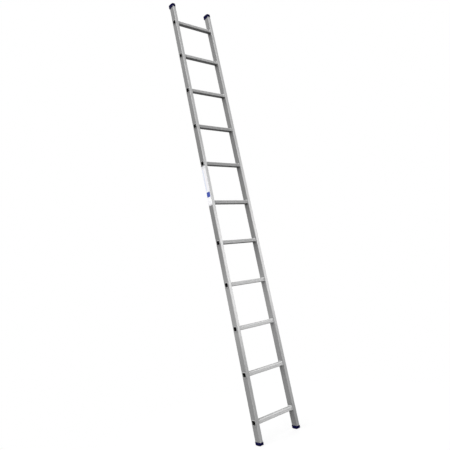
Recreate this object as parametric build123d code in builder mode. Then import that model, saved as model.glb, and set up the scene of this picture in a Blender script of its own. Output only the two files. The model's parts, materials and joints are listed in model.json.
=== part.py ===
# A leaning single section ladder: two hollow aluminium stiles, swaged tubular rungs and plastic end caps.
# Millimetres. +Z runs up the stiles, +X to the right seen from the climbing side, which faces -Y.
# The origin is on the floor, midway between the two feet.
import os
from math import atan2, degrees, sqrt
from build123d import *

os.makedirs("parts", exist_ok=True)

# Rungs
rung_count = 11
rung_pitch = 280.0
rung_size = 26.0
rung_corner = 6.0
rung_wall = 1.8
flute_count = 4
flute_pitch = 3.2
flute_width = 1.6
flute_depth = 0.6

# Stiles
clear_width = 312.0
stile_width = 24.0
stile_depth = 44.0
stile_wall = 1.8
stile_corner = 3.0
stile_groove_width = 2.6
stile_groove_depth = 0.6
stile_groove_inset = 3.8
stile_below_rungs = 109.0
stile_above_rungs = 127.0

# Swaged joints between a rung and a stile
swage_clearance = 0.05
neck_step = 0.4
bead_height = 3.0
bead_length = 4.0
bead_bevel = 1.8
lip_reach = 4.6
lip_thickness = 1.6
lip_bevel_width = 2.2
lip_bevel_depth = 1.0
flare_width = 2.2
flare_depth = 2.4

# Plastic ends
plug_length = 38.0
plug_wall = 2.2
plug_gap = 0.8
plug_clearance = 0.1
plug_rib_length = 32.0
plug_rib_width = 2.0
plug_rib_spacing = 24.0
foot_proud = 2.4
foot_corner = 6.0
foot_height = 21.0
sole_land = 10.0
sole_rise = 8.0
sole_round = 6.0
sole_thickness = 9.0
tread_count = 6
tread_pitch = 7.0
tread_width = 2.0
tread_depth = 1.5
cap_proud = 2.0
cap_bevel = 4.5
crown_front = 24.0
crown_middle = 33.0
crown_back = 36.0
crown_round = 11.0
crown_thickness = 9.0
nose_reach = 6.0
nose_low = 8.0

# Bare adhesive label on the left stile's outer face
label_width = 40.0
label_thickness = 0.3
label_below_rung = 22.0
label_short_of_rung = 20.0
label_clearance = 0.1
label_slope = 1.6

# Places that follow from the sizes above
stile_bottom = foot_height
stile_length = stile_below_rungs + (rung_count - 1) * rung_pitch + stile_above_rungs
stile_top = stile_bottom + stile_length
stile_centre = clear_width / 2 + stile_width / 2
stile_outer = clear_width / 2 + stile_width
first_rung = stile_bottom + stile_below_rungs
rung_heights = [first_rung + step * rung_pitch for step in range(rung_count)]
middle_rung = rung_heights[rung_count // 2]
cavity_width = stile_width - 2 * stile_wall
cavity_depth = stile_depth - 2 * stile_wall
swage_corner_cut = rung_corner * 2 / 3
bore_size = rung_size - 2 * rung_wall
neck_size = rung_size - 2 * neck_step
hole_size = neck_size + 2 * swage_clearance
bead_size = rung_size + 2 * bead_height
lip_size = rung_size + 2 * lip_reach
rung_end = stile_outer + lip_thickness
foot_width = stile_width + 2 * foot_proud
foot_depth = stile_depth + 2 * foot_proud
cap_width = stile_width + 2 * cap_proud
cap_depth = stile_depth + 2 * cap_proud


def side_plane(x):
    """A plane facing +X at the given x, with sketch axes along +Y and +Z."""
    return Plane.YZ.offset(x)


def swage_outline(plane, size, heights=(0,)):
    """Cut-corner squares that every step of a swaged joint follows, evenly inside or outside each other."""
    corner_cut = swage_corner_cut + (2 - sqrt(2)) * (size - rung_size) / 2
    with BuildSketch(plane) as outline:
        with Locations(*[(0, height) for height in heights]):
            Rectangle(size, size)
        chamfer(outline.vertices(), corner_cut)
    return outline.sketch


def build_stile(side):
    """A hollow box extrusion with two shallow grooves down each broad face and a hole for every rung."""
    groove_radius = (stile_groove_width**2 / 4 + stile_groove_depth**2) / (2 * stile_groove_depth)
    groove_x = stile_width / 2 + groove_radius - stile_groove_depth
    groove_y = stile_depth / 2 - stile_groove_inset
    holes = swage_outline(side_plane(side * stile_centre), hole_size, rung_heights)
    with BuildPart() as stile:
        with BuildSketch(Plane.XY.offset(stile_bottom)):
            with Locations((side * stile_centre, 0)):
                RectangleRounded(stile_width, stile_depth, stile_corner)
                Rectangle(cavity_width, cavity_depth, mode=Mode.SUBTRACT)
                with GridLocations(2 * groove_x, 2 * groove_y, 2, 2):
                    Circle(groove_radius, mode=Mode.SUBTRACT)
        extrude(amount=stile_length)
        extrude(holes, amount=stile_width, both=True, mode=Mode.SUBTRACT)
    return stile.part


def build_bead(side):
    """The rolled bead that stops a rung at one stile's inner face, bevelled on the side away from the stile."""
    with BuildPart() as bead:
        stop = swage_outline(side_plane(side * clear_width / 2), bead_size)
        extrude(stop, amount=-side * bead_length)
        away = bead.faces().sort_by(Axis.X, reverse=side > 0)[-1]
        chamfer(away.edges(), bead_bevel)
    return bead.part


def build_rung():
    """A fluted tube through both stiles, held by a bead against each inner face and a flared outer lip."""
    fluted_length = clear_width - 2 * bead_length
    with BuildPart() as rung:
        with BuildSketch(side_plane(0)):
            RectangleRounded(rung_size, rung_size, rung_corner)
            with PolarLocations(rung_size / 2, 4):
                with GridLocations(0, flute_pitch, 1, flute_count):
                    Polygon(
                        (0, -flute_width / 2),
                        (0, flute_width / 2),
                        (-flute_depth, 0),
                        align=None,
                        mode=Mode.SUBTRACT,
                    )
        extrude(amount=fluted_length / 2, both=True)
        extrude(swage_outline(side_plane(0), neck_size), amount=stile_outer, both=True)
        for side in (-1, 1):
            add(build_bead(side))
            lip = swage_outline(side_plane(side * stile_outer), lip_size)
            extrude(lip, amount=side * lip_thickness)
        extrude(swage_outline(side_plane(0), bore_size), amount=rung_end, both=True, mode=Mode.SUBTRACT)
        for end in (0, -1):
            rim = rung.faces().sort_by(Axis.X)[end]
            chamfer(rim.outer_wire().edges(), lip_bevel_width, lip_bevel_depth, reference=rim)
            rim = rung.faces().sort_by(Axis.X)[end]
            chamfer(rim.inner_wires()[0].edges(), flare_width, flare_depth, reference=rim)
    return rung.part


def plug_section(height):
    """Outline of the spigot that a plastic end drives into the stile."""
    with BuildSketch(Plane.XY.offset(height)) as section:
        Rectangle(cavity_width - 2 * plug_gap, cavity_depth - 2 * plug_gap)
    return section.sketch


def rib_section(height):
    """Outline of the ribs that stand out of that spigot and grip the stile from inside."""
    with BuildSketch(Plane.XY.offset(height)) as section:
        with GridLocations(0, plug_rib_spacing, 1, 2):
            Rectangle(cavity_width - 2 * plug_clearance, plug_rib_width)
        Rectangle(plug_rib_width, cavity_depth - 2 * plug_clearance)
    return section.sketch


def core_section(height):
    """Outline of the hollow inside that spigot."""
    inset = 2 * plug_gap + 2 * plug_wall
    with BuildSketch(Plane.XY.offset(height)) as section:
        Rectangle(cavity_width - inset, cavity_depth - inset)
    return section.sketch


def sole_height(y):
    """Height of the rocker sole above the floor: a flat land that curves up to the front and back."""
    beyond = max(abs(y) - sole_land / 2, 0)
    run = foot_depth / 2 - sole_land / 2
    radius = (run**2 + sole_rise**2) / (2 * sole_rise)
    return radius - (radius**2 - beyond**2) ** 0.5


def build_foot():
    """A plug-in foot with a flange round the stile's end and a treaded rocker sole that rounds up at its sides."""
    half = foot_depth / 2
    tread_places = [(step - (tread_count - 1) / 2) * tread_pitch for step in range(tread_count)]
    with BuildPart() as foot:
        with BuildSketch(Plane.XY):
            RectangleRounded(foot_width, foot_depth, foot_corner)
        extrude(amount=foot_height)
        with BuildSketch(side_plane(0)):
            with BuildLine():
                Polyline((-half, sole_rise), (-half, foot_height), (half, foot_height), (half, sole_rise))
                TangentArc((sole_land / 2, 0), (half, sole_rise), tangent=(1, 0))
                Line((sole_land / 2, 0), (-sole_land / 2, 0))
                TangentArc((-sole_land / 2, 0), (-half, sole_rise), tangent=(-1, 0))
            make_face()
            for y in tread_places:
                with Locations((y, 0)):
                    Rectangle(tread_width, 2 * (sole_height(y) + tread_depth), mode=Mode.SUBTRACT)
        extrude(amount=foot_width, both=True, mode=Mode.INTERSECT)
        with BuildSketch(Plane.XZ) as belly:
            with Locations((0, foot_height / 2)):
                Rectangle(foot_width, foot_height)
            fillet(belly.vertices().group_by(Axis.Y)[0], sole_round)
        extrude(amount=foot_depth, both=True, mode=Mode.INTERSECT)
        extrude(plug_section(foot_height), amount=plug_length)
        extrude(rib_section(foot_height), amount=plug_rib_length)
        core_length = foot_height + plug_length - sole_thickness
        extrude(core_section(sole_thickness), amount=core_length, mode=Mode.SUBTRACT)
    return foot.part


def build_top_cap():
    """A plug-in cap with a rounded crown, bevelled sides and a nose that meets a wall before the stile does."""
    half = cap_depth / 2
    nose = half + nose_reach
    core_top = stile_top + crown_front - crown_thickness
    with BuildPart() as cap:
        with BuildSketch(side_plane(0)) as profile:
            with BuildLine():
                Polyline(
                    (-half, stile_top + crown_front),
                    (-half, stile_top),
                    (half, stile_top),
                    (nose, stile_top + nose_low),
                    (nose, stile_top + crown_back),
                )
                ThreePointArc(
                    (nose, stile_top + crown_back),
                    (0, stile_top + crown_middle),
                    (-half, stile_top + crown_front),
                )
            make_face()
            fillet(profile.vertices().sort_by(Axis.Y)[-2:], crown_round)
        extrude(amount=cap_width / 2, both=True)
        seat = cap.faces().sort_by(Axis.Z)[0]
        chamfer(cap.faces().filter_by(Axis.X).edges() - seat.edges(), cap_bevel)
        extrude(plug_section(stile_top), amount=-plug_length)
        extrude(rib_section(stile_top), amount=-plug_rib_length)
        core_length = core_top - stile_top + plug_length
        extrude(core_section(core_top), amount=-core_length, mode=Mode.SUBTRACT)
    return cap.part


def build_label():
    """A thin sticker that runs from below the middle rung to below the next, raised over the rung's lip."""
    bottom = middle_rung - label_below_rung
    top = middle_rung + rung_pitch - label_short_of_rung
    face = side_plane(-stile_outer)
    pocket_size = lip_size + 2 * label_clearance
    pocket_depth = lip_thickness + label_clearance
    tent_size = pocket_size + 2 * (label_thickness + label_slope)
    tent_height = pocket_depth + label_thickness
    tent = swage_outline(face, tent_size, [middle_rung])
    pocket = swage_outline(face, pocket_size, [middle_rung])
    with BuildPart() as label:
        with BuildSketch(face):
            with Locations((0, (bottom + top) / 2)):
                Rectangle(label_width, top - bottom)
        extrude(amount=-label_thickness)
        extrude(tent, amount=-tent_height, taper=degrees(atan2(label_slope, tent_height)))
        extrude(pocket, amount=-pocket_depth, mode=Mode.SUBTRACT)
    return label.part


def save(part, name):
    """Labels a finished piece and writes it to its own file."""
    part.label = name
    export_step(part, f"parts/{name}.step")


foot = build_foot()
top_cap = build_top_cap()
for side, name in ((-1, "left"), (1, "right")):
    save(build_stile(side), f"{name}_stile")
    save(Pos(side * stile_centre, 0, 0) * foot, f"{name}_foot")
    save(Pos(side * stile_centre, 0, 0) * top_cap, f"{name}_top_cap")
rung = build_rung()
for number, height in enumerate(rung_heights, start=1):
    save(Pos(0, 0, height) * rung, f"rung_{number:02d}")
save(build_label(), "stile_label")
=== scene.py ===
import json
import math

import bmesh
import bpy
from mathutils import Euler, Matrix, Vector


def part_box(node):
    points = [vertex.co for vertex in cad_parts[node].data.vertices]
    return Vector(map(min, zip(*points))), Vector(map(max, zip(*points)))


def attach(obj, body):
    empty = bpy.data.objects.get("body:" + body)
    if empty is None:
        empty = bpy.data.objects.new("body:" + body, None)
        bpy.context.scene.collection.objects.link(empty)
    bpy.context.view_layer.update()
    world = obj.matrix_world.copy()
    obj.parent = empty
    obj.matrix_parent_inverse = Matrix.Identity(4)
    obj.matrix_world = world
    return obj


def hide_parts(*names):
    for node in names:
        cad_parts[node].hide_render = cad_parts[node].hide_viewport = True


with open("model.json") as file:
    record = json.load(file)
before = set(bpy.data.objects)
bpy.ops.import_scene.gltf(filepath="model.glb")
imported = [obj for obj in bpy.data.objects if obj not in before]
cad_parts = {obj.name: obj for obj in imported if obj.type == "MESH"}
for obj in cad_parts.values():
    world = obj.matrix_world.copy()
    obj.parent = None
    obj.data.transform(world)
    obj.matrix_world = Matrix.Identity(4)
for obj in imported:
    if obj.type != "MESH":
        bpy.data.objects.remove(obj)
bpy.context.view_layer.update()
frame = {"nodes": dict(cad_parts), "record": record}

# Sizes read from the solids
MM = 0.001
RUNGS = sorted(name for name in frame["nodes"] if name.startswith("rung_"))
RUNG_BOXES = [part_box(name) for name in RUNGS]
RUNG_HEIGHTS = [(low.z + high.z) / 2 for low, high in RUNG_BOXES]
FIRST_RUNG = RUNG_HEIGHTS[0]
RUNG_PITCH = RUNG_HEIGHTS[1] - RUNG_HEIGHTS[0]
STILE_LOW, STILE_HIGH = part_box("right_stile")
STILE_INNER = STILE_LOW.x
STILE_OUTER = STILE_HIGH.x
STILE_HALF_DEPTH = (STILE_HIGH.y - STILE_LOW.y) / 2
LABEL_LOW, LABEL_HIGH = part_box("stile_label")
PLASTIC_ENDS = ("left_foot", "right_foot", "left_top_cap", "right_top_cap")

# Marks on a rung, measured from its axis or along it from the middle.
# A pair says where a mark starts to show and where it is full.
RUNG_HALF = 13.0 * MM
# The bore and the mouths of the open ends are painted dark, as painted shade.
BORE_FLAT = 11.3 * MM
BORE_CORNER = 19.9 * MM
MOUTH_START = STILE_OUTER - 5.0 * MM
MOUTH_FLAT = (13.7 * MM, 13.1 * MM)
MOUTH_CORNER = (23.4 * MM, 22.6 * MM)
LIP_START = STILE_OUTER - 2.0 * MM
PRESSED_END = (STILE_INNER - 7.0 * MM, STILE_INNER - 5.0 * MM)
FLUTE_FLOOR = (RUNG_HALF, RUNG_HALF - 0.6 * MM)
FLUTED_STRIP = (7.0 * MM, 6.4 * MM)
TOP_FACE = (RUNG_HALF - 3.0 * MM, RUNG_HALF - 0.5 * MM)
UNDERSIDE = (5.0 * MM - RUNG_HALF, 1.0 * MM - RUNG_HALF)
TREAD_LENGTH = (145.0 * MM, 80.0 * MM)

# Marks on a stile, as pairs of distances from its middle plane and from the axis of a rung
# The fronts and backs of the stiles carry a painted highlight; the halo is grime round each rung.
FRONT_AND_BACK_FACES = (STILE_HALF_DEPTH - 2.5 * MM, STILE_HALF_DEPTH)
JOINT_HALO = (25.0 * MM, 17.0 * MM)

# Marks by height above the floor, as pairs. Painted shade on the stiles' fronts and lower ends rises to the
# right by its slant.
# painted light over the low rungs, which are also worn
WORN_AND_LIT_RUNGS = (1.75, 0.75)
# painted shade under the upper rungs
SHADED_UNDERSIDES = (0.85, 1.25)
CLEAN_RUNGS = (2.1, 2.6)
SHADED_FRONTS = (0.80, 0.50)
SHADED_ENDS = (0.15, -0.05)
SHADE_SLANT = 0.6
FLOOR_DUST = (14.0 * MM, 1.0 * MM)

# Marks round a height, as pairs of distances from it: painted light on the stiles' sides, and painted shade
# on the rungs and sides with a painted highlight on the fronts and backs.
LOW_LIGHT_HEIGHT = 0.8
LIT_SIDES = (0.4, 0.1)
PAINTED_BAND_HEIGHT = 1.6
SHADED_RUNGS = (0.8, 0.4)
SHADED_SIDES = (0.7, 0.3)
HIGHLIT_FRONTS = (0.5, 0.2)

# Swage rings, fitted over the stepped beads and lips of the solids
LIP_PATH = 31.0 * MM
LIP_PATH_CORNER = 7.0 * MM
LIP_HALF_WIDTH = 2.5 * MM
LIP_HEIGHT = 2.2 * MM
BEAD_PATH = 26.0 * MM
BEAD_PATH_CORNER = 5.0 * MM
BEAD_HALF_LENGTH = 3.4 * MM
BEAD_HEIGHT = 3.6 * MM
BEAD_SETBACK = 0.9 * MM
RING_CORNER_POINTS = 7
RING_SECTION_POINTS = 20

# Film label, draped over the lip of the middle rung
FILM_THICKNESS = 0.3 * MM
FILM_CORNER = 3.0 * MM
FILM_SHOULDER = LIP_HALF_WIDTH * 0.4
FILM_SLOPE = 3.7 * MM
FILM_SAG = 0.5 * MM
FILM_CLEARANCE = 0.05 * MM
FILM_COLUMNS = 44
FILM_ROWS = 240
FILM_EDGE_ANGLE = 50

# Plain stripes on the label, and where it is grubby
STRIPED_HEIGHTS = (LABEL_LOW.z + 108.0 * MM, LABEL_HIGH.z - 24.0 * MM)
SIDE_STRIPE = (6.0 * MM, 16.0 * MM)
FINE_LINE = (-9.0 * MM, -6.0 * MM)
CROSS_BAND_HEIGHTS = (LABEL_LOW.z + 60.0 * MM, LABEL_LOW.z + 96.0 * MM)
CROSS_BAND = (-16.0 * MM, 16.0 * MM)
GRUBBY_SIDES = (LABEL_HIGH.y - 1.5 * MM, LABEL_HIGH.y)
GRUBBY_TOP = (LABEL_HIGH.z - 30.0 * MM, LABEL_HIGH.z - 10.0 * MM)

# Rounded edges of the plastic ends
PLASTIC_EDGE = 0.8 * MM
PLASTIC_EDGE_STEPS = 3
PLASTIC_EDGE_ANGLE = 35
WELD_REACH = 0.01 * MM

# Camera: angles in degrees, the lens in millimetres and its shift in widths of the picture.
# The photographed ladder leans on an unseen wall. This one stands upright, so the camera rolls instead.
CAMERA_PLACE = (-1.9988, -2.0710, 0.9051)
CAMERA_HEADING = 34.646
CAMERA_TILT = 11.683
CAMERA_ROLL = -9.875
CAMERA_LENS = 33.281
CAMERA_SENSOR = 36.0
CAMERA_SHIFT = (0.1333, -0.0133)
CAMERA_CLIP = (0.05, 200.0)

# Studio
AMBIENT = 0.16
OVERHEAD_PLACE = (-2.5, -1.0, 4.5)
OVERHEAD_AIM = (0.0, 0.0, 1.5)
OVERHEAD_POWER = 3.9
OVERHEAD_SPREAD = 70
FLOOR_SIZE = 60.0
FLOOR_DROP = 0.5 * MM
FLOOR_TONE = 0.85
FLOOR_BOUNCE = 0.05
FLOOR_GLOW = 0.85
FLOOR_FADE = 1.5

# Soft panels: name, place, aim, power, size, and whether they show as highlights
PANELS = (
    ("front_panel", (1.9, -2.7, 1.2), (0.0, 0.0, 1.2), 24.0, 1.6, True),
    ("side_panel", (-2.6, 0.3, 0.7), (-0.17, 0.0, 0.8), 6.0, 1.2, True),
    ("back_panel", (2.8, 1.6, 1.4), (0.0, 0.0, 1.4), 62.0, 1.8, False),
)


def add_node(tree, kind, settings, inputs):
    """Adds a node to a tree, sets it up and fills its sockets with values or links."""
    made = tree.nodes.new(kind)
    for name, setting in settings.items():
        setattr(made, name, setting)
    for name, value in inputs.items():
        if isinstance(value, bpy.types.NodeSocket):
            tree.links.new(value, made.inputs[name])
        else:
            made.inputs[name].default_value = value
    return made


class Value:
    """A shader socket that takes part in Python expressions. Each operator adds one Math node."""

    def __init__(self, paint, socket):
        self.paint = paint
        self.socket = socket

    def math(self, operation, first, second=0.0):
        return self.paint.node("ShaderNodeMath", {"operation": operation}, {0: first, 1: second})

    def __add__(self, other):
        return self.math("ADD", self, other)

    __radd__ = __add__

    def __sub__(self, other):
        return self.math("SUBTRACT", self, other)

    def __rsub__(self, other):
        return self.math("SUBTRACT", other, self)

    def __mul__(self, other):
        return self.math("MULTIPLY", self, other)

    __rmul__ = __mul__

    def __truediv__(self, other):
        return self.math("DIVIDE", self, other)

    def __lt__(self, other):
        return self.math("LESS_THAN", self, other)

    def __gt__(self, other):
        return self.math("GREATER_THAN", self, other)

    def __abs__(self):
        return self.math("ABSOLUTE", self)

    def floor(self):
        return self.math("FLOOR", self)

    def larger(self, other):
        return self.math("MAXIMUM", self, other)

    def smaller(self, other):
        return self.math("MINIMUM", self, other)

    def between(self, low, high):
        """1 from low to high, and 0 elsewhere."""
        return (self > low) * (self < high)

    def ramp(self, start, full):
        """Goes smoothly from 0 at start to 1 at full, whichever of them is larger."""
        settings = {"interpolation_type": "SMOOTHSTEP"}
        inputs = {"Value": self, "From Min": start, "From Max": full}
        return self.paint.node("ShaderNodeMapRange", settings, inputs)


class Paint:
    """The nodes of one material, or of the world."""

    def __init__(self, owner):
        self.owner = owner
        owner.use_nodes = True
        self.tree = owner.node_tree
        self.tree.nodes.clear()

    def node(self, kind, settings, inputs, output=0):
        """Adds a node, with values or expressions in its sockets, and returns one of its outputs."""
        filled = {}
        for name, value in inputs.items():
            filled[name] = value.socket if isinstance(value, Value) else value
        made = add_node(self.tree, kind, settings, filled)
        return Value(self, made.outputs[output])

    def place(self):
        """Object coordinates as three values."""
        point = self.node("ShaderNodeTexCoord", {}, {}, "Object")
        return [self.node("ShaderNodeSeparateXYZ", {}, {0: point}, axis) for axis in "XYZ"]

    def noise(self, x, y, z, detail):
        """Noise whose grain is about one unit of the given coordinates."""
        point = self.node("ShaderNodeCombineXYZ", {}, {"X": x, "Y": y, "Z": z})
        settings = {"noise_dimensions": "3D"}
        return self.node("ShaderNodeTexNoise", settings, {"Vector": point, "Scale": 1.0, "Detail": detail})

    def above_rung(self, z):
        """Height above the axis of the nearest rung."""
        steps = (z - FIRST_RUNG) / RUNG_PITCH
        return (steps - (steps + 0.5).floor()) * RUNG_PITCH

    def blend(self, amount, first, second):
        """Mixes two colours."""
        settings = {"data_type": "RGBA", "clamp_factor": True}
        return self.node("ShaderNodeMix", settings, {0: amount, 6: first, 7: second}, 2)

    def layers(self, colour, *layers):
        """Lays greys over a colour, each given by its cover and its level."""
        for cover, level in layers:
            colour = self.blend(cover, colour, grey(level))
        return colour

    def bump(self, height, strength, distance):
        """A normal that follows small changes of height."""
        inputs = {"Height": height, "Strength": strength, "Distance": distance}
        return self.node("ShaderNodeBump", {}, inputs)

    def seen(self):
        """1 for what the camera, a reflection or glass shows, and 0 for light on other things."""
        rays = ("Is Camera Ray", "Is Glossy Ray", "Is Transmission Ray")
        camera, mirror, glass = [self.node("ShaderNodeLightPath", {}, {}, ray) for ray in rays]
        return camera.larger(mirror).larger(glass)

    def surface(self, **sockets):
        """Ends the material in a Principled BSDF."""
        inputs = {name.replace("_", " "): value for name, value in sockets.items()}
        return self.ending_in(self.node("ShaderNodeBsdfPrincipled", {}, inputs))

    def ending_in(self, shader, kind="ShaderNodeOutputMaterial"):
        """Links a shader to the output."""
        add_node(self.tree, kind, {}, {"Surface": shader.socket})
        return self.owner


def new_paint(name):
    """The nodes of a new material."""
    return Paint(bpy.data.materials.new(name))


def grey(level):
    """A neutral colour."""
    return (level, level, level, 1.0)


def stile_aluminium():
    """Mill-finish extrusion with die lines, cloudy oxide, a few scuffs and a grey halo at each rung.

    The fronts and backs carry a painted highlight, strongest round a height halfway up, and are a little
    smoother. The sides carry painted light low down and painted shade halfway up, and painted shade darkens
    the fronts towards the floor and the stiles' lower ends, reaching a little higher on the right stile.
    """
    paint = new_paint("stile_aluminium")
    x, y, z = paint.place()
    die_lines = paint.noise(x * 800, y * 800, z * 1.5, 3.0)
    clouds = paint.noise(x * 18, y * 18, z * 6, 3.0)
    scuffs = paint.noise(x * 120, y * 120, z * 900, 2.0).ramp(0.66, 0.72) * clouds.ramp(0.5, 0.6)
    from_joint = abs(y).larger(abs(paint.above_rung(z)))
    from_band = abs(z - PAINTED_BAND_HEIGHT)
    shade_height = z - x * SHADE_SLANT
    fronts_and_backs = abs(y).ramp(*FRONT_AND_BACK_FACES)
    sides = 1 - fronts_and_backs
    halo = from_joint.ramp(*JOINT_HALO) * sides
    side_light = abs(z - LOW_LIGHT_HEIGHT).ramp(*LIT_SIDES) * sides
    band_shade = from_band.ramp(*SHADED_SIDES) * sides
    wear_and_highlight = from_band.ramp(*HIGHLIT_FRONTS) * fronts_and_backs
    front_shade = shade_height.ramp(*SHADED_FRONTS) * fronts_and_backs
    end_shade = shade_height.ramp(*SHADED_ENDS)
    metal = paint.layers(
        paint.blend(die_lines * 0.55 + clouds * 0.45, grey(0.19), grey(0.29)),
        # painted light on the sides round a height low down
        (side_light * 0.4, 0.40),
        # painted shade on the sides round a height halfway up
        (band_shade * 0.3, 0.15),
        # painted highlight over the fronts and backs
        (fronts_and_backs * 0.8, 0.68),
        # a stronger painted highlight on the fronts and backs round that height
        (wear_and_highlight * 0.35, 0.85),
        # painted shade on the fronts and backs towards the floor
        (front_shade * 0.6, 0.36),
        # painted shade at the stiles' lower ends, reaching higher on the right stile
        (end_shade * 0.4, 0.11),
        (halo * (0.25 + clouds * 0.35), 0.15),
        (scuffs * 0.5, 0.42),
    )
    return paint.surface(
        Base_Color=metal,
        Metallic=0.25,
        Specular_IOR_Level=0.4,
        Roughness=0.30 + die_lines * 0.10 + clouds * 0.10 - fronts_and_backs * 0.06 + halo * 0.06,
        Normal=paint.bump(die_lines, 0.12, 0.2 * MM),
    )


def rung_aluminium():
    """Drawn tube with grime in the flutes, a worn tread, pressed ends, grey lips and a dark bore.

    The low rungs carry painted light and are worn, with less grime in their flutes, those halfway up carry
    painted shade, and the high ones are the cleanest. Painted shade also darkens the low rungs' top faces,
    the upper rungs' undersides, the bore and the mouths of the open ends.
    """
    paint = new_paint("rung_aluminium")
    x, y, z = paint.place()
    up = paint.above_rung(z)
    lines = paint.noise(x * 3, y * 700, z * 700, 3.0)
    clouds = paint.noise(x * 25, y * 40, z * 40, 2.0)
    off_axis = abs(y).larger(abs(up))
    along_face = abs(y).smaller(abs(up))
    diagonal = abs(y) + abs(up)
    bore = (off_axis < BORE_FLAT) * (diagonal < BORE_CORNER)
    mouth = (abs(x) > MOUTH_START) * off_axis.ramp(*MOUTH_FLAT) * diagonal.ramp(*MOUTH_CORNER)
    # dark marks the painted shade in the bore and the mouths of the open ends
    dark = bore.larger(mouth)
    lip = abs(x) > LIP_START
    pressed = abs(x).ramp(*PRESSED_END)
    flute = off_axis.ramp(*FLUTE_FLOOR) * along_face.ramp(*FLUTED_STRIP)
    top = up.ramp(*TOP_FACE)
    underside_shade = up.ramp(*UNDERSIDE) * z.ramp(*SHADED_UNDERSIDES)
    wear_and_highlight = top * abs(x).ramp(*TREAD_LENGTH) * clouds.ramp(0.35, 0.6)
    wear_and_light = z.ramp(*WORN_AND_LIT_RUNGS) * (1 - pressed)
    band_shade = abs(z - PAINTED_BAND_HEIGHT).ramp(*SHADED_RUNGS)
    clean = z.ramp(*CLEAN_RUNGS)
    metal = paint.layers(
        paint.blend(lines * 0.6 + clouds * 0.4, grey(0.44), grey(0.56)),
        # painted light over the low rungs
        (wear_and_light * 0.75, 0.78),
        # painted shade on the rungs round a height halfway up
        (band_shade * 0.3, 0.30),
        (clean * 0.35, 0.75),
        # painted shade on the top faces of the low rungs
        (wear_and_light * top * 0.8, 0.29),
        (flute * (0.45 - wear_and_light * 0.2), 0.20),
        # painted shade on the undersides of the upper rungs
        (underside_shade * 0.85, 0.05),
        (wear_and_highlight * 0.2, 0.56),
        (pressed * 0.3, 0.52),
        (lip * 0.6, 0.30),
        # painted shade in the bore and the mouths of the open ends
        (dark, 0.010),
    )
    return paint.surface(
        Base_Color=metal,
        Metallic=0.15 - dark * 0.15,
        Specular_IOR_Level=0.3,
        Roughness=0.36 + lines * 0.12 - wear_and_highlight * 0.08 + dark * 0.3 + underside_shade * 0.15,
        Normal=paint.bump(lines, 0.12, 0.2 * MM),
    )


def end_plastic():
    """Dark navy moulded plastic with a fine grain, dusty towards the floor."""
    paint = new_paint("end_plastic")
    x, y, z = paint.place()
    grain = paint.noise(x * 1500, y * 1500, z * 1500, 1.0)
    clouds = paint.noise(x * 90, y * 90, z * 90, 3.0)
    dust = z.ramp(*FLOOR_DUST) * clouds.ramp(0.4, 0.65)
    plastic = paint.blend(clouds, (0.0010, 0.0008, 0.020, 1.0), (0.0022, 0.0018, 0.048, 1.0))
    plastic = paint.blend(dust * 0.15, plastic, (0.040, 0.038, 0.060, 1.0))
    return paint.surface(
        Base_Color=plastic,
        Specular_IOR_Level=0.03,
        Specular_Tint=(0.45, 0.42, 1.0, 1.0),
        Roughness=0.36 + grain * 0.12 + dust * 0.3,
        Normal=paint.bump(grain, 0.1, 0.1 * MM),
    )


def label_film():
    """White adhesive film with plain stripes, a little grubby at its sides and its upper end."""
    paint = new_paint("label_film")
    x, y, z = paint.place()
    clouds = paint.noise(x * 60, y * 60, z * 30, 3.0)
    creases = paint.noise(x * 120, y * 120, z * 40, 2.0)
    striped = z.between(*STRIPED_HEIGHTS)
    side_stripe = striped * y.between(*SIDE_STRIPE)
    fine_line = striped * y.between(*FINE_LINE)
    cross_band = z.between(*CROSS_BAND_HEIGHTS) * y.between(*CROSS_BAND)
    grubby = abs(y).ramp(*GRUBBY_SIDES).larger(z.ramp(*GRUBBY_TOP)) * (0.15 + clouds.ramp(0.4, 0.7) * 0.35)
    film = paint.blend(clouds, (0.93, 0.93, 0.96, 1.0), (0.97, 0.97, 0.99, 1.0))
    film = paint.blend(side_stripe * 0.35, film, (0.36, 0.50, 0.82, 1.0))
    film = paint.blend(fine_line * 0.4, film, (0.86, 0.62, 0.68, 1.0))
    film = paint.blend(cross_band, film, (0.006, 0.045, 0.36, 1.0))
    film = paint.blend(grubby, film, grey(0.45))
    return paint.surface(
        Base_Color=film,
        Roughness=0.28 + clouds * 0.15,
        Coat_Weight=0.4,
        Coat_Roughness=0.2,
        Normal=paint.bump(creases, 0.15, 0.5 * MM),
    )


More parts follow.
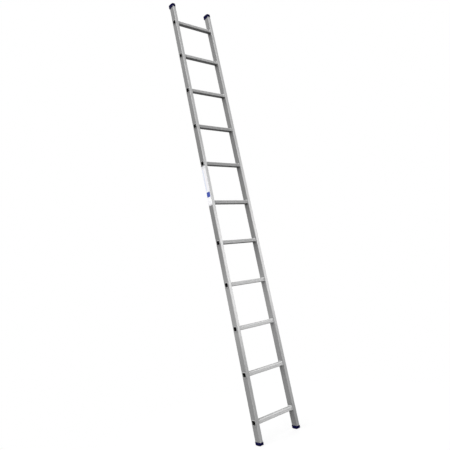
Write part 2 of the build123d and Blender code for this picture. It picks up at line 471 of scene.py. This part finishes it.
def ring_tree():
    """Node tree that makes a column of rounded-square rings, one at each rung, facing along X."""
    tree = bpy.data.node_groups.new("swage_rings", "GeometryNodeTree")
    tree.interface.new_socket("Geometry", in_out="OUTPUT", socket_type="NodeSocketGeometry")
    for name, kind in (
        ("Count", "NodeSocketInt"),
        ("First Height", "NodeSocketFloat"),
        ("Pitch", "NodeSocketFloat"),
        ("Place", "NodeSocketFloat"),
        ("Path Size", "NodeSocketFloat"),
        ("Path Corner", "NodeSocketFloat"),
        ("Half Across", "NodeSocketFloat"),
        ("Half Along", "NodeSocketFloat"),
        ("Material", "NodeSocketMaterial"),
    ):
        tree.interface.new_socket(name, in_out="INPUT", socket_type=kind)

    def add(kind, settings, inputs):
        """Adds a node and returns its first output."""
        return add_node(tree, kind, settings, inputs).outputs[0]

    sizes = tree.nodes.new("NodeGroupInput").outputs
    start = add("ShaderNodeCombineXYZ", {}, {"X": sizes["Place"], "Z": sizes["First Height"]})
    step = add("ShaderNodeCombineXYZ", {}, {"Z": sizes["Pitch"]})
    column = add(
        "GeometryNodeMeshLine",
        {"mode": "OFFSET"},
        {"Count": sizes["Count"], "Start Location": start, "Offset": step},
    )
    square = add(
        "GeometryNodeCurvePrimitiveQuadrilateral",
        {"mode": "RECTANGLE"},
        {"Width": sizes["Path Size"], "Height": sizes["Path Size"]},
    )
    path = add(
        "GeometryNodeFilletCurve",
        {"mode": "POLY"},
        {"Curve": square, "Radius": sizes["Path Corner"], "Count": RING_CORNER_POINTS},
    )
    round_wire = add(
        "GeometryNodeCurvePrimitiveCircle",
        {"mode": "RADIUS"},
        {"Resolution": RING_SECTION_POINTS, "Radius": 1.0},
    )
    section_size = add(
        "ShaderNodeCombineXYZ",
        {},
        {"X": sizes["Half Across"], "Y": sizes["Half Along"], "Z": 1.0},
    )
    section = add("GeometryNodeTransform", {}, {"Geometry": round_wire, "Scale": section_size})
    ring = add("GeometryNodeCurveToMesh", {}, {"Curve": path, "Profile Curve": section})
    smooth_ring = add("GeometryNodeSetShadeSmooth", {}, {"Geometry": ring, "Shade Smooth": True})
    facing = (math.radians(90), 0.0, math.radians(90))
    upright = add("GeometryNodeTransform", {}, {"Geometry": smooth_ring, "Rotation": facing})
    copies = add("GeometryNodeInstanceOnPoints", {}, {"Points": column, "Instance": upright})
    real = add("GeometryNodeRealizeInstances", {}, {"Geometry": copies})
    painted = add("GeometryNodeSetMaterial", {}, {"Geometry": real, "Material": sizes["Material"]})
    add_node(tree, "NodeGroupOutput", {}, {0: painted})
    return tree


def ring_mesh(tree, **sizes):
    """Runs the ring tree with the given sizes and returns the plain mesh."""
    maker = bpy.data.objects.new("ring_maker", bpy.data.meshes.new("ring_maker"))
    bpy.context.scene.collection.objects.link(maker)
    modifier = maker.modifiers.new("rings", "NODES")
    modifier.node_group = tree
    for item in tree.interface.items_tree:
        if item.in_out == "INPUT":
            modifier[item.identifier] = sizes[item.name.replace(" ", "_").lower()]
    evaluated = maker.evaluated_get(bpy.context.evaluated_depsgraph_get())
    mesh = bpy.data.meshes.new_from_object(evaluated)
    bpy.data.objects.remove(maker)
    return mesh


def join_meshes(name, meshes):
    """One object that holds all the given meshes."""
    whole = bmesh.new()
    for mesh in meshes:
        whole.from_mesh(mesh)
    joined = bpy.data.meshes.new(name)
    whole.to_mesh(joined)
    whole.free()
    for polygon in joined.polygons:
        polygon.use_smooth = True
    piece = bpy.data.objects.new(name, joined)
    bpy.context.scene.collection.objects.link(piece)
    return piece


def swage_rings(material):
    """Rounded lips round the rungs' open ends and rolled beads against the stiles' inner faces."""
    tree = ring_tree()
    column = {
        "count": len(RUNGS),
        "first_height": FIRST_RUNG,
        "pitch": RUNG_PITCH,
        "material": material,
    }
    lips = []
    beads = []
    for side in (-1, 1):
        lips.append(
            ring_mesh(
                tree,
                place=side * STILE_OUTER,
                path_size=LIP_PATH,
                path_corner=LIP_PATH_CORNER,
                half_across=LIP_HALF_WIDTH,
                half_along=LIP_HEIGHT,
                **column,
            )
        )
        beads.append(
            ring_mesh(
                tree,
                place=side * (STILE_INNER - BEAD_SETBACK),
                path_size=BEAD_PATH,
                path_corner=BEAD_PATH_CORNER,
                half_across=BEAD_HEIGHT,
                half_along=BEAD_HALF_LENGTH,
                **column,
            )
        )
    for name, meshes in (("swage_lips", lips), ("swage_beads", beads)):
        piece = join_meshes(name, meshes)
        piece.data.materials.append(material)
        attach(piece, "root")


def eased(share):
    """Goes smoothly from 0 to 1 as the share does, and stays there on either side."""
    held = min(max(share, 0.0), 1.0)
    return held * held * (3 - 2 * held)


def film_height(y, up):
    """How far the label's face stands off the stile where it drapes over the middle rung's lip."""
    far = max(abs(y), abs(up)) - LIP_PATH_CORNER
    near = min(abs(y), abs(up)) - LIP_PATH_CORNER
    from_middle = LIP_PATH_CORNER + (math.hypot(far, near) if near > 0 else far)
    beyond = (from_middle - LIP_PATH / 2 - FILM_SHOULDER) / FILM_SLOPE
    within = (LIP_PATH / 2 - FILM_SHOULDER - from_middle) / (LIP_PATH / 2)
    draped = LIP_HEIGHT + FILM_CLEARANCE - FILM_SAG * eased(within)
    return FILM_THICKNESS + draped * (1 - eased(beyond))


def film_point(column, row):
    """Where a point of the film's grid lies on the stile's face, drawn in at the label's rounded corners."""
    middle = (LABEL_LOW.z + LABEL_HIGH.z) / 2
    half_width = (LABEL_HIGH.y - LABEL_LOW.y) / 2
    half_height = (LABEL_HIGH.z - LABEL_LOW.z) / 2
    y = LABEL_LOW.y + 2 * half_width * column / FILM_COLUMNS
    z = LABEL_LOW.z + 2 * half_height * row / FILM_ROWS
    y_over = max(abs(y) - half_width + FILM_CORNER, 0.0)
    z_over = max(abs(z - middle) - half_height + FILM_CORNER, 0.0)
    if y_over > 0 and z_over > 0:
        shrink = max(y_over, z_over) / math.hypot(y_over, z_over)
        y -= math.copysign(y_over * (1 - shrink), y)
        z -= math.copysign(z_over * (1 - shrink), z - middle)
    return y, z


def draped_label(material):
    """A thin film with rounded corners that drapes over the middle rung's lip and sags into its mouth."""
    middle_rung = RUNG_HEIGHTS[len(RUNGS) // 2]
    film = bmesh.new()
    outside = []
    inside = []
    for row in range(FILM_ROWS + 1):
        for column in range(FILM_COLUMNS + 1):
            y, z = film_point(column, row)
            face = -STILE_OUTER - film_height(y, z - middle_rung)
            outside.append(film.verts.new((face, y, z)))
            inside.append(film.verts.new((face + FILM_THICKNESS, y, z)))
    stride = FILM_COLUMNS + 1
    for row in range(FILM_ROWS):
        for column in range(FILM_COLUMNS):
            corner = row * stride + column
            ring = (corner, corner + stride, corner + stride + 1, corner + 1)
            film.faces.new([outside[index] for index in ring])
            film.faces.new([inside[index] for index in reversed(ring)])
    low_edge = list(range(stride))
    right_edge = [row * stride + FILM_COLUMNS for row in range(1, FILM_ROWS + 1)]
    high_edge = [FILM_ROWS * stride + column for column in range(FILM_COLUMNS - 1, -1, -1)]
    left_edge = [row * stride for row in range(FILM_ROWS - 1, 0, -1)]
    border = low_edge + right_edge + high_edge + left_edge
    for here, there in zip(border, border[1:] + border[:1]):
        film.faces.new((outside[here], outside[there], inside[there], inside[here]))
    bmesh.ops.recalc_face_normals(film, faces=film.faces)
    for edge in film.edges:
        edge.smooth = edge.calc_face_angle(0.0) < math.radians(FILM_EDGE_ANGLE)
    for polygon in film.faces:
        polygon.smooth = True
    mesh = bpy.data.meshes.new("label_film")
    film.to_mesh(mesh)
    film.free()
    mesh.materials.append(material)
    piece = bpy.data.objects.new("label_film", mesh)
    bpy.context.scene.collection.objects.link(piece)
    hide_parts("stile_label")
    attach(piece, "root")


def dress_nodes():
    """Gives every solid its finish."""
    finishes = {
        "stile_aluminium": stile_aluminium(),
        "rung_aluminium": rung_aluminium(),
        "end_plastic": end_plastic(),
        "label_film": label_film(),
    }
    slots = {part["node"]: part["material_slot"] for part in frame["record"]["subparts"]}
    for name, node in frame["nodes"].items():
        node.data.materials.clear()
        node.data.materials.append(finishes[slots[name]])
    return finishes


def round_plastic_edges():
    """Softens the moulded edges of the feet and caps."""
    for name in PLASTIC_ENDS:
        node = frame["nodes"][name]
        weld = node.modifiers.new("weld", "WELD")
        weld.merge_threshold = WELD_REACH
        edges = node.modifiers.new("edges", "BEVEL")
        edges.width = PLASTIC_EDGE
        edges.segments = PLASTIC_EDGE_STEPS
        edges.limit_method = "ANGLE"
        edges.angle_limit = math.radians(PLASTIC_EDGE_ANGLE)


def white_surroundings():
    """A world that is white in view and in reflections, and gives a plain softer light to the rest."""
    world = bpy.data.worlds.new("studio")
    bpy.context.scene.world = world
    paint = Paint(world)
    strength = AMBIENT + (1 - AMBIENT) * paint.seen()
    light = paint.node("ShaderNodeBackground", {}, {"Color": grey(1.0), "Strength": strength})
    paint.ending_in(light, "ShaderNodeOutputWorld")


def pale_floor():
    """A floor that is white in view, keeps a soft shadow round the feet and throws little light back up."""
    paint = new_paint("studio_floor")
    x, y = paint.place()[:2]
    far = (x * x + y * y).ramp(0.0, FLOOR_FADE**2)
    seen = paint.seen()
    matt_colour = paint.blend(seen, grey(FLOOR_BOUNCE), grey(FLOOR_TONE))
    matt = paint.node("ShaderNodeBsdfDiffuse", {}, {"Color": matt_colour})
    glow = paint.node("ShaderNodeEmission", {}, {"Color": grey(1.0), "Strength": 1.0})
    share = seen * (FLOOR_GLOW + (1 - FLOOR_GLOW) * far)
    paint.ending_in(paint.node("ShaderNodeMixShader", {}, {0: share, 1: matt, 2: glow}))
    bpy.ops.mesh.primitive_plane_add(size=FLOOR_SIZE, location=(0.0, 0.0, -FLOOR_DROP))
    floor = bpy.context.object
    floor.name = "studio_floor"
    floor.data.materials.append(paint.owner)


def aimed_lamp(name, kind, place, aim, power):
    """A lamp at a place, pointed at aim."""
    lamp = bpy.data.objects.new(name, bpy.data.lights.new(name, kind))
    lamp.data.energy = power
    lamp.location = place
    lamp.rotation_euler = (Vector(aim) - Vector(place)).to_track_quat("-Z", "Y").to_euler()
    bpy.context.scene.collection.objects.link(lamp)
    return lamp


def studio_lamps():
    """A wide overhead light, even over the ladder and the floor, and soft panels round the ladder."""
    overhead = aimed_lamp("overhead_light", "SUN", OVERHEAD_PLACE, OVERHEAD_AIM, OVERHEAD_POWER)
    overhead.data.angle = math.radians(OVERHEAD_SPREAD)
    for name, place, aim, power, size, highlights in PANELS:
        panel = aimed_lamp(name, "AREA", place, aim, power)
        panel.data.shape = "SQUARE"
        panel.data.size = size
        panel.visible_glossy = highlights


def studio_camera():
    """The photograph's view, with the shift of the lens that the slopes of its rungs need."""
    lens = bpy.data.cameras.new("camera")
    lens.lens = CAMERA_LENS
    lens.sensor_width = CAMERA_SENSOR
    lens.shift_x, lens.shift_y = CAMERA_SHIFT
    lens.clip_start, lens.clip_end = CAMERA_CLIP
    camera = bpy.data.objects.new("camera", lens)
    camera.location = CAMERA_PLACE
    level = Euler((math.radians(90 + CAMERA_TILT), 0.0, math.radians(-CAMERA_HEADING))).to_matrix()
    camera.rotation_euler = (level @ Matrix.Rotation(math.radians(CAMERA_ROLL), 3, "Z")).to_euler()
    bpy.context.scene.collection.objects.link(camera)
    bpy.context.scene.camera = camera


finishes = dress_nodes()
round_plastic_edges()
swage_rings(finishes["rung_aluminium"])
draped_label(finishes["label_film"])
white_surroundings()
pale_floor()
studio_lamps()
studio_camera()
bpy.context.scene.view_settings.view_transform = "Standard"
